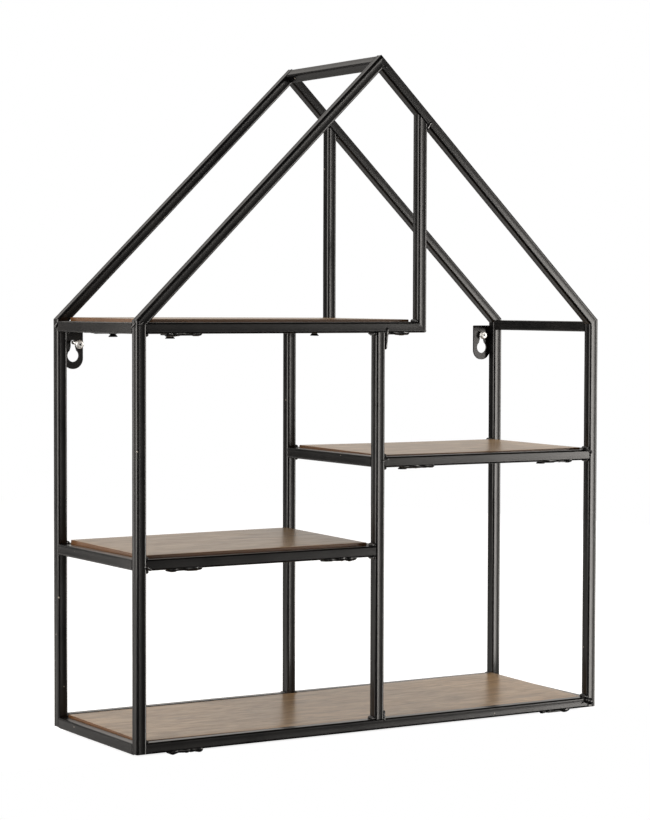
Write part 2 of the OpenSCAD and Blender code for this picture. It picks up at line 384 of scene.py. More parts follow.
def makeTubeTree():
    tree, given = newShape("squareTube", {
        "Start": "Vector", "End": "Vector", "Side": "Vector",
        "Start Cut": "Vector", "End Cut": "Vector", "Rings": "Int", "Crowding": "Float",
        "Wander": "Float", "Wander Length": "Float", "Seed": "Float", "Material": "Material"})
    line = addNode(tree, "GeometryNodeCurvePrimitiveLine",
                   links={"Start": given["Start"], "End": given["End"]})
    rings = addNode(tree, "GeometryNodeResampleCurve",
                    links={"Curve": line, "Count": given["Rings"]})
    factor = addNode(tree, "GeometryNodeSplineParameter").outputs["Factor"]
    crowded = addNode(tree, "ShaderNodeMath", {"operation": "POWER"},
                      links={0: factor, 1: given["Crowding"]})
    span = addNode(tree, "ShaderNodeVectorMath", {"operation": "SUBTRACT"},
                   links={0: given["End"], 1: given["Start"]})
    length = addNode(tree, "ShaderNodeVectorMath", {"operation": "LENGTH"}, links={0: span})
    axis = addNode(tree, "ShaderNodeVectorMath", {"operation": "NORMALIZE"}, links={0: span})
    along = addNode(tree, "ShaderNodeMath", {"operation": "MULTIPLY"},
                    links={0: crowded, 1: length.outputs["Value"]})
    reach = addNode(tree, "ShaderNodeVectorMath", {"operation": "SCALE"},
                    links={0: axis, "Scale": along})
    place = addNode(tree, "ShaderNodeVectorMath", {"operation": "ADD"},
                    links={0: given["Start"], 1: reach})
    # wander: slow noise along the tube, none at its ends
    slow = addNode(tree, "ShaderNodeMath", {"operation": "DIVIDE"},
                   links={0: along, 1: given["Wander Length"]})
    noisePlace = addNode(tree, "ShaderNodeCombineXYZ", links={"X": slow, "Y": given["Seed"]})
    drift = addNode(tree, "ShaderNodeTexNoise", values={"Scale": 1.0, "Detail": 1.0},
                    links={"Vector": noisePlace})
    centred = addNode(tree, "ShaderNodeVectorMath", {"operation": "SUBTRACT"},
                      {1: (0.5, 0.5, 0.5)}, {0: drift.outputs["Color"]})
    back = addNode(tree, "ShaderNodeMath", {"operation": "SUBTRACT"}, {0: 1.0}, {1: factor})
    nearest = addNode(tree, "ShaderNodeMath", {"operation": "MINIMUM"},
                      links={0: factor, 1: back})
    fade = addNode(tree, "ShaderNodeMapRange", values={"From Max": 0.12},
                   links={"Value": nearest})
    amount = addNode(tree, "ShaderNodeMath", {"operation": "MULTIPLY"},
                     links={0: fade, 1: given["Wander"]})
    shift = addNode(tree, "ShaderNodeVectorMath", {"operation": "SCALE"},
                    links={0: centred, "Scale": amount})
    centre = addNode(tree, "GeometryNodeSetPosition",
                     links={0: rings, "Position": place, "Offset": shift})
    marked = addNode(tree, "GeometryNodeSetCurveNormal", {"mode": "FREE"},
                     links={"Curve": centre, "Normal": given["Side"]})
    for label, source in (("runLength", along), ("share", crowded)):
        marked = addNode(tree, "GeometryNodeStoreNamedAttribute",
                         {"data_type": "FLOAT", "domain": "POINT"}, {"Name": label},
                         {0: marked, "Value": source})
    section = addNode(tree, "GeometryNodeMeshToCurve", links={0: given["Geometry"]})
    cut = addNode(tree, "GeometryNodeCurveToMesh",
                  links={"Curve": marked, "Profile Curve": section})
    # each line of points along the tube is stretched to run from one cutting plane to the other
    here = addNode(tree, "GeometryNodeInputPosition").outputs[0]
    run = addNode(tree, "GeometryNodeInputNamedAttribute", {"data_type": "FLOAT"},
                  {"Name": "runLength"})
    share = addNode(tree, "GeometryNodeInputNamedAttribute", {"data_type": "FLOAT"},
                    {"Name": "share"})
    rest = addNode(tree, "ShaderNodeMath", {"operation": "SUBTRACT"}, {0: 1.0}, {1: share})
    toEnd = addNode(tree, "ShaderNodeMath", {"operation": "SUBTRACT"},
                    links={0: run, 1: length.outputs["Value"]})
    for at, normal, travelled, weight in (("Start", "Start Cut", run, rest),
                                          ("End", "End Cut", toEnd, share)):
        away = addNode(tree, "ShaderNodeVectorMath", {"operation": "SUBTRACT"},
                       links={0: given[at], 1: here})
        depth = addNode(tree, "ShaderNodeVectorMath", {"operation": "DOT_PRODUCT"},
                        links={0: away, 1: given[normal]})
        lean = addNode(tree, "ShaderNodeVectorMath", {"operation": "DOT_PRODUCT"},
                       links={0: axis, 1: given[normal]})
        slide = addNode(tree, "ShaderNodeMath", {"operation": "DIVIDE"},
                        links={0: depth.outputs["Value"], 1: lean.outputs["Value"]})
        fromSquare = addNode(tree, "ShaderNodeMath", {"operation": "ADD"},
                             links={0: slide, 1: travelled})
        weighted = addNode(tree, "ShaderNodeMath", {"operation": "MULTIPLY"},
                           links={0: fromSquare, 1: weight})
        offset = addNode(tree, "ShaderNodeVectorMath", {"operation": "SCALE"},
                         links={0: axis, "Scale": weighted})
        cut = addNode(tree, "GeometryNodeStoreNamedAttribute",
                      {"data_type": "FLOAT_VECTOR", "domain": "POINT"},
                      {"Name": at + " slide"}, {0: cut, "Value": offset})
    for at in ("Start", "End"):
        offset = addNode(tree, "GeometryNodeInputNamedAttribute", {"data_type": "FLOAT_VECTOR"},
                         {"Name": at + " slide"})
        cut = addNode(tree, "GeometryNodeSetPosition", links={0: cut, "Offset": offset})
    # place of each point on the tube's own section and length, for the paint
    flat = addNode(tree, "GeometryNodeInputNamedAttribute", {"data_type": "FLOAT_VECTOR"},
                   {"Name": "section"})
    own = addNode(tree, "ShaderNodeMath", {"operation": "ADD"}, links={0: run, 1: given["Seed"]})
    upright = addNode(tree, "ShaderNodeCombineXYZ", links={"Z": own})
    mapped = addNode(tree, "ShaderNodeVectorMath", {"operation": "ADD"},
                     links={0: flat, 1: upright})
    painted = addNode(tree, "GeometryNodeStoreNamedAttribute",
                      {"data_type": "FLOAT_VECTOR", "domain": "POINT"},
                      {"Name": "tubePlace"}, {0: cut, "Value": mapped})
    closeShape(tree, painted, given["Material"])
    return tree


# centre line, side direction and end cuts of each tube, read from the boxes of the frame
def tubeRuns(t):
    half = t["size"] / 2
    up, right, back = np.array((0, 0, 1.0)), np.array((1.0, 0, 0)), np.array((0, 1.0, 0))
    postLow, postHigh = nodeBox("front_post_left")
    apexZ = nodeBox("front_rafter_left")[1][2]
    slope = math.atan2(apexZ - postHigh[2], -postLow[0])
    rise = np.array((math.cos(slope), 0, math.sin(slope)))
    eaveCut = rise + up
    eave = np.array((postLow[0] + half, 0, postHigh[2] - half * eaveCut[0] / eaveCut[2]))
    apex = np.array((0, 0, apexZ - half / math.cos(slope)))
    underRight = np.array((math.sin(slope), 0, math.cos(slope)))
    footX = sum(nodeBox("front_post_upper")[i][0] for i in (0, 1)) / 2
    footZ = sum(nodeBox("front_rail_upper_left")[i][2] for i in (0, 1)) / 2
    foot = np.array((footX, 0, footZ))
    footCut = up + right
    flip = np.array((-1, 1, 1))
    runs = {}
    for name in sorted(frame["nodes"]):
        words = name.split("_")
        if not {"post", "rafter", "rail", "tube"} & set(words):
            continue
        low, high = nodeBox(name)
        mid = (low + high) / 2
        level = back * mid[1]
        cuts, crowd, side = [None, None], 1.0, back
        if "rafter" in words:
            start, end, cuts = eave + level, apex + level, [eaveCut, right]
            if "right" in words:
                start, end, cuts = start * flip, end * flip, [eaveCut * flip, right]
        elif "post" in words and "upper" in words:
            top = apexZ - t["size"] / math.cos(slope) - footX * math.tan(slope)
            start, end = foot + level, np.array((footX, mid[1], top))
            cuts, crowd = [footCut, underRight], t["footCrowding"]
        elif "post" in words and "middle" in words:
            start, end = mid * (1, 1, 0) + up * low[2], mid * (1, 1, 0) + up * high[2]
        elif "post" in words:
            sign = 1 if "left" in words else -1
            end = eave * (sign, 1, 1) + level
            start, cuts[1] = end * (1, 1, 0) + up * low[2], eaveCut * (sign, 1, 1)
        elif high[1] - low[1] > 2 * t["size"]:
            start, end = mid * (1, 0, 1) + back * low[1], mid * (1, 0, 1) + back * high[1]
            side = right + up if name == "ridge_tube" else right
        elif "upper" in words:
            start, end = foot + level, mid * (0, 1, 1) + right * low[0]
            cuts, crowd = [footCut, None], t["footCrowding"]
        else:
            start, end = mid * (0, 1, 1) + right * low[0], mid * (0, 1, 1) + right * high[0]
        startRise, endRise = t["rise"].get(name, (0.0, 0.0))
        start, end = start + up * startRise, end + up * endRise
        axis = (end - start) / np.linalg.norm(end - start)
        cuts = [axis if cut is None else cut for cut in cuts]
        runs[name] = (start, end, side, cuts, crowd)
    return runs, foot


def groundCorner(piece, corner, radius):
    mesh = piece.data
    spots = np.zeros(len(mesh.vertices) * 3)
    mesh.vertices.foreach_get("co", spots)
    spots = spots.reshape(-1, 3) / mm
    centre = corner + np.array((-radius, 0, radius))
    away = (spots - centre) * (1, 0, 1)
    reach = np.linalg.norm(away, axis=1)
    outside = (away[:, 0] > 0) & (away[:, 2] < 0) & (reach > radius)
    spots[outside] -= (away * (1 - radius / np.maximum(reach, tiny))[:, None])[outside]
    mesh.vertices.foreach_set("co", (spots * mm).ravel())
    mesh.update()


def makeTubes(t, material):
    tree = makeTubeTree()
    section = tubeSection(t)
    runs, foot = tubeRuns(t)
    footCorner = foot + np.array((1, 0, -1)) * (t["size"] / 2 + t["paint"])
    for seed, (name, (start, end, side, cuts, crowd)) in enumerate(runs.items()):
        length = np.linalg.norm(end - start)
        rings = t["footRings"] if crowd > 1 else max(4, round(length / t["ringGap"]))
        piece = growPiece(name + "_tube", section, tree, {
            "Start": tuple(start * mm), "End": tuple(end * mm),
            "Side": tuple(side / np.linalg.norm(side)),
            "Start Cut": tuple(cuts[0]), "End Cut": tuple(cuts[1]),
            "Rings": rings, "Crowding": crowd,
            "Wander": t["wander"] * mm, "Wander Length": t["wanderLength"] * mm,
            "Seed": t["seedStep"] * seed, "Material": material}, t["wall"] * mm)
        if crowd > 1:
            groundCorner(piece, footCorner, t["footRadius"])
        piece.data.shade_smooth()
        piece.data.set_sharp_from_angle(angle=math.radians(t["sharpAngle"]))
        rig.ride(piece, "root")
        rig.replaces(piece, name)
        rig.slot(piece, "frame_black")
    print("square tubes:", len(runs))


tubeBlack = makeTubePaint(tubePaint)
makeTubes(tubeShape, tubeBlack)

# oak veneer under satin lacquer, stained brown: mottled flecks and a few long dark growth lines,
# with fine open pores between them, and a film smooth enough to mirror the posts behind
veneerFinish = {
    "pale": "#b39570",
    "mid": "#a18463",
    "dark": "#92785a",
    "line": "#69533c",
    "edge": "#744f30",      # of the sawn edges, and where the saw burnt them
    "burnt": "#44301f",
    "fleckMm": 7.0,         # across the grain
    "fleckLengthMm": 34.0,
    "lineMm": 26.0,         # from one dark growth line to the next
    "lineLengthMm": 300.0,
    "lineWidth": (0.035, 0.006),    # how near the middle value a line starts and is full
    "lineDepth": 0.6,
    "poreMm": 0.9,          # pores, drawn four times as wide as real ones so that they show
    "poreLengthMm": 16.0,
    "cloudMm": 70.0,
    "patch": (0.86, 1.14),  # how much darker and paler the clouds make it
    "roughLow": 0.28,
    "roughHigh": 0.38,
    "gloss": 0.5,
    "coat": 0.45,
    "coatRough": 0.26,
    "ior": 1.5,
}


def makeVeneer(p):
    material, tree = newMaterial("satinLacqueredOakVeneer")
    place = addNode(tree, "ShaderNodeAttribute",
                    {"attribute_name": "boardPlace"}).outputs["Vector"]
    inset = addNode(tree, "ShaderNodeAttribute",
                    {"attribute_name": "edgeDistance"}).outputs["Fac"]
    cloud = addNode(tree, "ShaderNodeTexNoise",
                    values={"Scale": 1 / (p["cloudMm"] * mm), "Detail": 3.0},
                    links={"Vector": place})
    short = addNode(tree, "ShaderNodeMapping",
                    values={"Scale": (p["fleckMm"] / p["fleckLengthMm"], 1, 0.3)},
                    links={"Vector": place})
    fleck = addNode(tree, "ShaderNodeTexNoise",
                    values={"Scale": 1 / (p["fleckMm"] * mm), "Detail": 5.0,
                            "Roughness": 0.62, "Distortion": 0.6},
                    links={"Vector": short})
    long = addNode(tree, "ShaderNodeMapping",
                   values={"Scale": (p["lineMm"] / p["lineLengthMm"], 1, 0.3)},
                   links={"Vector": place})
    growth = addNode(tree, "ShaderNodeTexNoise",
                     values={"Scale": 1 / (p["lineMm"] * mm), "Detail": 3.0,
                             "Roughness": 0.5, "Distortion": 0.5},
                     links={"Vector": long})
    # a growth line runs where the slow noise crosses its middle value
    fromMiddle = addNode(tree, "ShaderNodeMath", {"operation": "SUBTRACT"}, {1: 0.5},
                         {0: growth.outputs["Fac"]})
    distance = addNode(tree, "ShaderNodeMath", {"operation": "ABSOLUTE"}, links={0: fromMiddle})
    onLine = addNode(tree, "ShaderNodeMapRange", {"interpolation_type": "SMOOTHSTEP"},
                     {"From Min": p["lineWidth"][0], "From Max": p["lineWidth"][1],
                      "To Max": p["lineDepth"]}, {"Value": distance})
    broken = addNode(tree, "ShaderNodeMapRange", values={"From Min": 0.42, "From Max": 0.6},
                     links={"Value": cloud.outputs["Fac"]})
    drawn = addNode(tree, "ShaderNodeMath", {"operation": "MULTIPLY"},
                    links={0: onLine, 1: broken})
    fine = addNode(tree, "ShaderNodeMapping",
                   values={"Scale": (p["poreMm"] / p["poreLengthMm"], 1, 1)},
                   links={"Vector": place})
    pore = addNode(tree, "ShaderNodeTexNoise",
                   values={"Scale": 1 / (p["poreMm"] * mm), "Detail": 1.0},
                   links={"Vector": fine})
    tones = addNode(tree, "ShaderNodeValToRGB", links={"Fac": fleck.outputs["Fac"]})
    ramp = tones.color_ramp
    ramp.elements[0].position, ramp.elements[0].color = 0.32, hexColor(p["dark"])
    ramp.elements[1].position, ramp.elements[1].color = 0.64, hexColor(p["pale"])
    ramp.elements.new(0.47).color = hexColor(p["mid"])
    lined = addNode(tree, "ShaderNodeMix", {"data_type": "RGBA"}, {7: hexColor(p["line"])},
                    {0: drawn, 6: tones.outputs["Color"]})
    poreDark = addNode(tree, "ShaderNodeMapRange",
                       values={"From Min": 0.3, "From Max": 0.46, "To Min": 0.6, "To Max": 1.0},
                       links={"Value": pore.outputs["Fac"]})
    grained = addNode(tree, "ShaderNodeMix", {"data_type": "RGBA", "blend_type": "MULTIPLY"},
                      {0: 1.0}, {6: lined.outputs[2], 7: poreDark})
    patch = addNode(tree, "ShaderNodeMapRange",
                    values={"From Min": 0.3, "From Max": 0.7,
                            "To Min": p["patch"][0], "To Max": p["patch"][1]},
                    links={"Value": cloud.outputs["Fac"]})
    # painted light and shade: each board's colour is scaled by its painted light level, paler to the right and darker
    # on the lower left board under the shelf above
    own = addNode(tree, "ShaderNodeAttribute", {"attribute_name": "paintedBoardLight"})
    level = addNode(tree, "ShaderNodeMath", {"operation": "MULTIPLY"},
                    links={0: patch, 1: own.outputs["Fac"]})
    patched = addNode(tree, "ShaderNodeMix", {"data_type": "RGBA", "blend_type": "MULTIPLY"},
                      {0: 1.0}, {6: grained.outputs[2], 7: level})
    isSide = addNode(tree, "ShaderNodeMapRange",
                     values={"From Min": 0.5 * mm, "From Max": 0.2 * mm}, links={"Value": inset})
    edgeTone = addNode(tree, "ShaderNodeMix", {"data_type": "RGBA"},
                       {6: hexColor(p["burnt"]), 7: hexColor(p["edge"])},
                       {0: cloud.outputs["Fac"]})
    colored = addNode(tree, "ShaderNodeMix", {"data_type": "RGBA"},
                      links={0: isSide, 6: patched.outputs[2], 7: edgeTone.outputs[2]})
    rough = addNode(tree, "ShaderNodeMapRange",
                    values={"From Min": 0.3, "From Max": 0.7,
                            "To Min": p["roughHigh"], "To Max": p["roughLow"]},
                    links={"Value": fleck.outputs["Fac"]})
    bump = addNode(tree, "ShaderNodeBump", values={"Strength": 0.25, "Distance": 0.05 * mm},
                   links={"Height": poreDark})
    swell = addNode(tree, "ShaderNodeBump", values={"Strength": 0.3, "Distance": 0.1 * mm},
                    links={"Height": fleck.outputs["Fac"], "Normal": bump.outputs["Normal"]})
    shader = addNode(tree, "ShaderNodeBsdfPrincipled",
                     values={"IOR": p["ior"], "Specular IOR Level": p["gloss"],
                             "Coat Weight": p["coat"], "Coat Roughness": p["coatRough"],
                             "Coat IOR": p["ior"]},
                     links={"Base Color": colored.outputs[2], "Roughness": rough,
                            "Normal": swell.outputs["Normal"],
                            "Coat Normal": swell.outputs["Normal"]})
    closeMaterial(tree, shader)
    return material


# each board lies on its tabs, and its top has a little bow and is not quite level
boardShape = {
    "arris": 0.6,           # rounding of the edges
    "arrisSteps": 3,
    "gap": 12.0,            # between grid lines
    "nextSheet": (400, 170),    # how far along and across the veneer the next board is cut
    # rise of the top's front left, front right, rear left and rear right corner and its middle
    "rise": {"board_bottom": (-1.2, -2.1, -0.3, 1.2, -0.6),
             "board_lower_left": (0.8, 0.7, 2.2, 2.9, 0.1),
             "board_middle_right": (-0.9, -0.8, 0.8, 0.1, -0.4),
             "board_upper_left": (1.4, 0.6, 2.0, 1.2, 0.1)},
    "wider": {"board_bottom": 2.1},   # fills its opening up to the tubes
    # painted light on each board: how much paler or darker its colour is made at its left and right end, a painted
    # light gradient growing paler to the right and painted shade on the lower left board under the shelf above it,
    # fitted to the photograph's tones
    "paintedLight": {"board_bottom": (0.95, 1.2), "board_lower_left": (0.9, 0.82),
              "board_middle_right": (1.22, 1.42), "board_upper_left": (1.0, 1.0)},
}


def boardLines(low, high, b):
    r, steps = b["arris"], b["arrisSteps"]
    curve = [r * (1 - math.cos(math.pi / 2 * i / steps)) for i in range(steps + 1)]
    inner = np.linspace(low + r, high - r, max(2, round((high - low) / b["gap"]) + 1))
    lower = [low + c for c in curve[:-1]]
    upper = [high - c for c in reversed(curve[:-1])]
    return np.array(lower + list(inner) + upper)


def makeBoard(name, b, material, seed):
    low, high = nodeBox(name)
    wider = b["wider"].get(name, 0) * np.array((1, 1, 0))
    low, high = low - wider, high + wider
    axes = [boardLines(low[i], high[i], b) for i in range(3)]
    points, index, faces = [], {}, []

    def corner(i, j, k):
        if (i, j, k) not in index:
            index[(i, j, k)] = len(points)
            points.append((axes[0][i], axes[1][j], axes[2][k]))
        return index[(i, j, k)]

    for axis in range(3):
        u, v = (axis + 1) % 3, (axis + 2) % 3
        for end in (0, len(axes[axis]) - 1):
            for p in range(len(axes[u]) - 1):
                for q in range(len(axes[v]) - 1):
                    loop = []
                    for dp, dq in ((0, 0), (1, 0), (1, 1), (0, 1)):
                        spot = [0, 0, 0]
                        spot[axis], spot[u], spot[v] = end, p + dp, q + dq
                        loop.append(corner(*spot))
                    faces.append(loop if end else loop[::-1])
    points = np.array(points)
    core = np.clip(points, low + b["arris"], high - b["arris"])
    away = points - core
    reach = np.linalg.norm(away, axis=1, keepdims=True)
    points = core + away * b["arris"] / np.maximum(reach, tiny)
    inset = np.minimum.reduce([points[:, 0] - low[0], high[0] - points[:, 0],
                               points[:, 1] - low[1], high[1] - points[:, 1]])
    place = points + seed * np.array((*b["nextSheet"], 0))
    frontLeft, frontRight, rearLeft, rearRight, middle = b["rise"][name]
    across = (points[:, 0] - low[0]) / (high[0] - low[0])
    back = (points[:, 1] - low[1]) / (high[1] - low[1])
    front = frontLeft * (1 - across) + frontRight * across
    rear = rearLeft * (1 - across) + rearRight * across
    # only the top is out of true: the underside stays flat on the tabs
    up = (points[:, 2] - low[2]) / (high[2] - low[2])
    points[:, 2] += up * (front * (1 - back) + rear * back + middle * np.sin(math.pi * across))
    mesh = bpy.data.meshes.new(name)
    mesh.from_pydata((points * mm).tolist(), [], faces)
    # painted light: the colour factor runs from the board's left end to its right end
    leftPaintedLight, rightPaintedLight = b["paintedLight"][name]
    paintedLight = leftPaintedLight * (1 - across) + rightPaintedLight * across
    placeLayer = mesh.attributes.new("boardPlace", "FLOAT_VECTOR", "POINT")
    placeLayer.data.foreach_set("vector", (place * mm).ravel())
    for label, numbers in (("edgeDistance", inset * mm), ("paintedBoardLight", paintedLight)):
        mesh.attributes.new(label, "FLOAT", "POINT").data.foreach_set("value", numbers)
    mesh.shade_smooth()
    mesh.materials.append(material)
    piece = bpy.data.objects.new("veneered_" + name, mesh)
    scene.collection.objects.link(piece)
    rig.ride(piece, "root")
    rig.replaces(piece, name)
    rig.slot(piece, "board_veneer")


veneer = makeVeneer(veneerFinish)
for order, boardName in enumerate(boardShape["rise"]):
    makeBoard(boardName, boardShape, veneer, order + 1)
print("boards:", len(boardShape["rise"]))

# the same lacquer over stamped sheet: rounder at the sheared edges, with faint press marks
sheetPaint = {
    "film": "#0b0b0c",
    "thinFilm": "#1d1b19",
    "roughLow": 0.3,
    "roughHigh": 0.42,
    "bodyGloss": 0.15,
    "skin": 0.6,
    "skinRough": 0.22,
    "ior": 1.5,
    "pressMarkMm": 3.2,
    "cloudMm": 16.0,
    "edgeRound": 0.3,
    "edgeSteps": 2,
    "edgeAngle": 40,        # degrees, from where an edge is rounded
    "seam": 0.01,           # what is nearer than this is one corner
}


def makeSheetPaint(p):
    material, tree = newMaterial("blackLacquerOnStampedSheet")
    place = addNode(tree, "ShaderNodeTexCoord").outputs["Object"]
    cloud = addNode(tree, "ShaderNodeTexNoise",
                    values={"Scale": 1 / (p["cloudMm"] * mm), "Detail": 4.0},
                    links={"Vector": place})
    marks = addNode(tree, "ShaderNodeTexNoise",
                    values={"Scale": 1 / (p["pressMarkMm"] * mm), "Detail": 2.0},
                    links={"Vector": place})
    thin = addNode(tree, "ShaderNodeMapRange", values={"From Min": 0.5, "From Max": 0.7},
                   links={"Value": marks.outputs["Fac"]})
    tone = addNode(tree, "ShaderNodeMix", {"data_type": "RGBA"},
                   {6: hexColor(p["film"]), 7: hexColor(p["thinFilm"])}, {0: thin})
    rough = addNode(tree, "ShaderNodeMapRange",
                    values={"From Min": 0.35, "From Max": 0.65,
                            "To Min": p["roughLow"], "To Max": p["roughHigh"]},
                    links={"Value": cloud.outputs["Fac"]})
    bump = addNode(tree, "ShaderNodeBump", values={"Strength": 0.2, "Distance": 0.05 * mm},
                   links={"Height": marks.outputs["Fac"]})
    shader = addNode(tree, "ShaderNodeBsdfPrincipled",
                     values={"IOR": p["ior"], "Specular IOR Level": p["bodyGloss"],
                             "Coat Weight": p["skin"], "Coat Roughness": p["skinRough"],
                             "Coat IOR": p["ior"]},
                     links={"Base Color": tone.outputs[2], "Roughness": rough,
                            "Normal": bump.outputs["Normal"],
                            "Coat Normal": bump.outputs["Normal"]})
    closeMaterial(tree, shader)
    return material


# lacquer over weld metal: glossy where the bead bulges, with ripples and pinholes
weldPaint = {
    "film": "#161617",
    "spatter": "#36322e",
    "roughLow": 0.3,
    "roughHigh": 0.42,
    "bodyGloss": 0.45,
    "skin": 0.7,
    "skinRough": 0.2,
    "ior": 1.5,
    "rippleMm": 1.3,
    "bandMm": 314.0,        # one band of the wave texture at a scale of 1, with m as its unit
    "pinholeMm": 2.4,
}


def makeWeldPaint(p):
    material, tree = newMaterial("blackLacquerOnWeldMetal")
    place = addNode(tree, "ShaderNodeTexCoord").outputs["Object"]
    ripple = addNode(tree, "ShaderNodeTexWave", {"bands_direction": "Y"},
                     {"Scale": p["bandMm"] / p["rippleMm"], "Distortion": 3.0, "Detail": 2.0},
                     {"Vector": place})
    pit = addNode(tree, "ShaderNodeTexVoronoi", values={"Scale": 1 / (p["pinholeMm"] * mm)},
                  links={"Vector": place})
    hole = addNode(tree, "ShaderNodeMapRange", values={"From Min": 0.1, "From Max": 0.22},
                   links={"Value": pit.outputs["Distance"]})
    speck = addNode(tree, "ShaderNodeTexNoise",
                    values={"Scale": 1 / (p["pinholeMm"] * mm), "Detail": 3.0},
                    links={"Vector": place})
    light = addNode(tree, "ShaderNodeMapRange", values={"From Min": 0.6, "From Max": 0.72},
                    links={"Value": speck.outputs["Fac"]})
    tone = addNode(tree, "ShaderNodeMix", {"data_type": "RGBA"},
                   {6: hexColor(p["film"]), 7: hexColor(p["spatter"])}, {0: light})
    rough = addNode(tree, "ShaderNodeMapRange",
                    values={"To Min": p["roughLow"], "To Max": p["roughHigh"]},
                    links={"Value": speck.outputs["Fac"]})
    waves = addNode(tree, "ShaderNodeBump", values={"Strength": 0.3, "Distance": 0.15 * mm},
                    links={"Height": ripple.outputs["Fac"]})
    bump = addNode(tree, "ShaderNodeBump", values={"Strength": 0.5, "Distance": 0.2 * mm},
                   links={"Height": hole, "Normal": waves.outputs["Normal"]})
    shader = addNode(tree, "ShaderNodeBsdfPrincipled",
                     values={"IOR": p["ior"], "Specular IOR Level": p["bodyGloss"],
                             "Coat Weight": p["skin"], "Coat Roughness": p["skinRough"],
                             "Coat IOR": p["ior"]},
                     links={"Base Color": tone.outputs[2], "Roughness": rough,
                            "Normal": bump.outputs["Normal"],
                            "Coat Normal": bump.outputs["Normal"]})
    closeMaterial(tree, shader)
    return material


# black phosphate on case-hardened steel: dull, slightly brown, rubbed bright in spots
screwPhosphate = {
    "dark": "#141312",
    "rubbed": "#4a4743",
    "roughLow": 0.38,
    "roughHigh": 0.55,
    "crystalMm": 0.5,       # phosphate crystals, drawn far coarser than real ones
    "wearMm": 3.0,
    "metallic": 0.7,
}


def makeScrewPhosphate(p):
    material, tree = newMaterial("blackPhosphateOnScrewSteel")
    place = addNode(tree, "ShaderNodeTexCoord").outputs["Object"]
    crystal = addNode(tree, "ShaderNodeTexNoise",
                      values={"Scale": 1 / (p["crystalMm"] * mm), "Detail": 2.0},
                      links={"Vector": place})
    wear = addNode(tree, "ShaderNodeTexNoise",
                   values={"Scale": 1 / (p["wearMm"] * mm), "Detail": 3.0},
                   links={"Vector": place})
    rubbed = addNode(tree, "ShaderNodeMapRange", values={"From Min": 0.56, "From Max": 0.7},
                     links={"Value": wear.outputs["Fac"]})
    tone = addNode(tree, "ShaderNodeMix", {"data_type": "RGBA"},
                   {6: hexColor(p["dark"]), 7: hexColor(p["rubbed"])}, {0: rubbed})
    rough = addNode(tree, "ShaderNodeMapRange",
                    values={"To Min": p["roughHigh"], "To Max": p["roughLow"]},
                    links={"Value": rubbed})
    bump = addNode(tree, "ShaderNodeBump", values={"Strength": 0.3, "Distance": 0.03 * mm},
                   links={"Height": crystal.outputs["Fac"]})
    shader = addNode(tree, "ShaderNodeBsdfPrincipled", values={"Metallic": p["metallic"]},
                     links={"Base Color": tone.outputs[2], "Roughness": rough,
                            "Normal": bump.outputs["Normal"]})
    closeMaterial(tree, shader)
    return material


# bright zinc plating on steel: pale metal with a soft cloudiness
zincPlating = {
    "bright": "#f0f0ee",
    "dull": "#cfd0cf",
    "roughLow": 0.4,
    "roughHigh": 0.52,
    "metallic": 0.75,
    "cloudMm": 2.5,
    "turnedMm": 0.35,       # grain of the header tool's marks
}


def makeZinc(p):
    material, tree = newMaterial("brightZincPlating")
    place = addNode(tree, "ShaderNodeTexCoord").outputs["Object"]
    cloud = addNode(tree, "ShaderNodeTexNoise",
                    values={"Scale": 1 / (p["cloudMm"] * mm), "Detail": 3.0},
                    links={"Vector": place})
    tone = addNode(tree, "ShaderNodeMix", {"data_type": "RGBA"},
                   {6: hexColor(p["bright"]), 7: hexColor(p["dull"])}, {0: cloud.outputs["Fac"]})
    rough = addNode(tree, "ShaderNodeMapRange",
                    values={"From Min": 0.3, "From Max": 0.7, "To Min": p["roughLow"],
                            "To Max": p["roughHigh"]}, links={"Value": cloud.outputs["Fac"]})
    turned = addNode(tree, "ShaderNodeTexNoise",
                     values={"Scale": 1 / (p["turnedMm"] * mm), "Detail": 1.0},
                     links={"Vector": place})
    bump = addNode(tree, "ShaderNodeBump", values={"Strength": 0.15, "Distance": 0.03 * mm},
                   links={"Height": turned.outputs["Fac"]})
    shader = addNode(tree, "ShaderNodeBsdfPrincipled", values={"Metallic": p["metallic"]},
                     links={"Base Color": tone.outputs[2], "Roughness": rough,
                            "Normal": bump.outputs["Normal"]})
    closeMaterial(tree, shader)
    return material


sheetBlack = makeSheetPaint(sheetPaint)
weldBlack = makeWeldPaint(weldPaint)
screwBlack = makeScrewPhosphate(screwPhosphate)
zinc = makeZinc(zincPlating)

# tabs and keyhole plates keep the frame's own solids, with their sheared edges rounded over
for name, node in frame["nodes"].items():
    if name.startswith(("tabs_", "keyhole_plate_")):
        node.data.materials.clear()
        node.data.materials.append(sheetBlack)
        joined = node.modifiers.new("joined", "WELD")
        joined.merge_threshold = sheetPaint["seam"] * mm
        rounded = node.modifiers.new("rounded", "BEVEL")
        rounded.width = sheetPaint["edgeRound"] * mm
        rounded.segments = sheetPaint["edgeSteps"]
        rounded.limit_method = "ANGLE"
        rounded.angle_limit = math.radians(sheetPaint["edgeAngle"])
        rounded.harden_normals = True
print("sheet parts painted")


# vertices of a frame node, in mm, and the separate solids in it
def nodeSolids(name):
    mesh = frame["nodes"][name].data
    spots = np.zeros(len(mesh.vertices) * 3)
    mesh.vertices.foreach_get("co", spots)
    spots = np.round(spots.reshape(-1, 3) / mm, 3)
    unique, index = np.unique(spots, axis=0, return_inverse=True)
    owner = list(range(len(unique)))

    def top(i):
        while owner[i] != i:
            owner[i] = owner[owner[i]]
            i = owner[i]
        return i

    for face in mesh.polygons:
        corners = [top(int(index.ravel()[v])) for v in face.vertices]
        for c in corners[1:]:
            owner[top(c)] = corners[0]
    groups = {}
    for i in range(len(unique)):
        groups.setdefault(top(i), []).append(unique[i])
    return [np.array(g) for g in groups.values()]


# how both kinds of screw are made
screwMake = {
    "sides": 40,
    "sharpAngle": 38,       # degrees
    "pinTaper": 0.45,       # the pins that cut the recess narrow to this share
    "pinProud": 0.25,       # share of a pin that stays outside the face
}


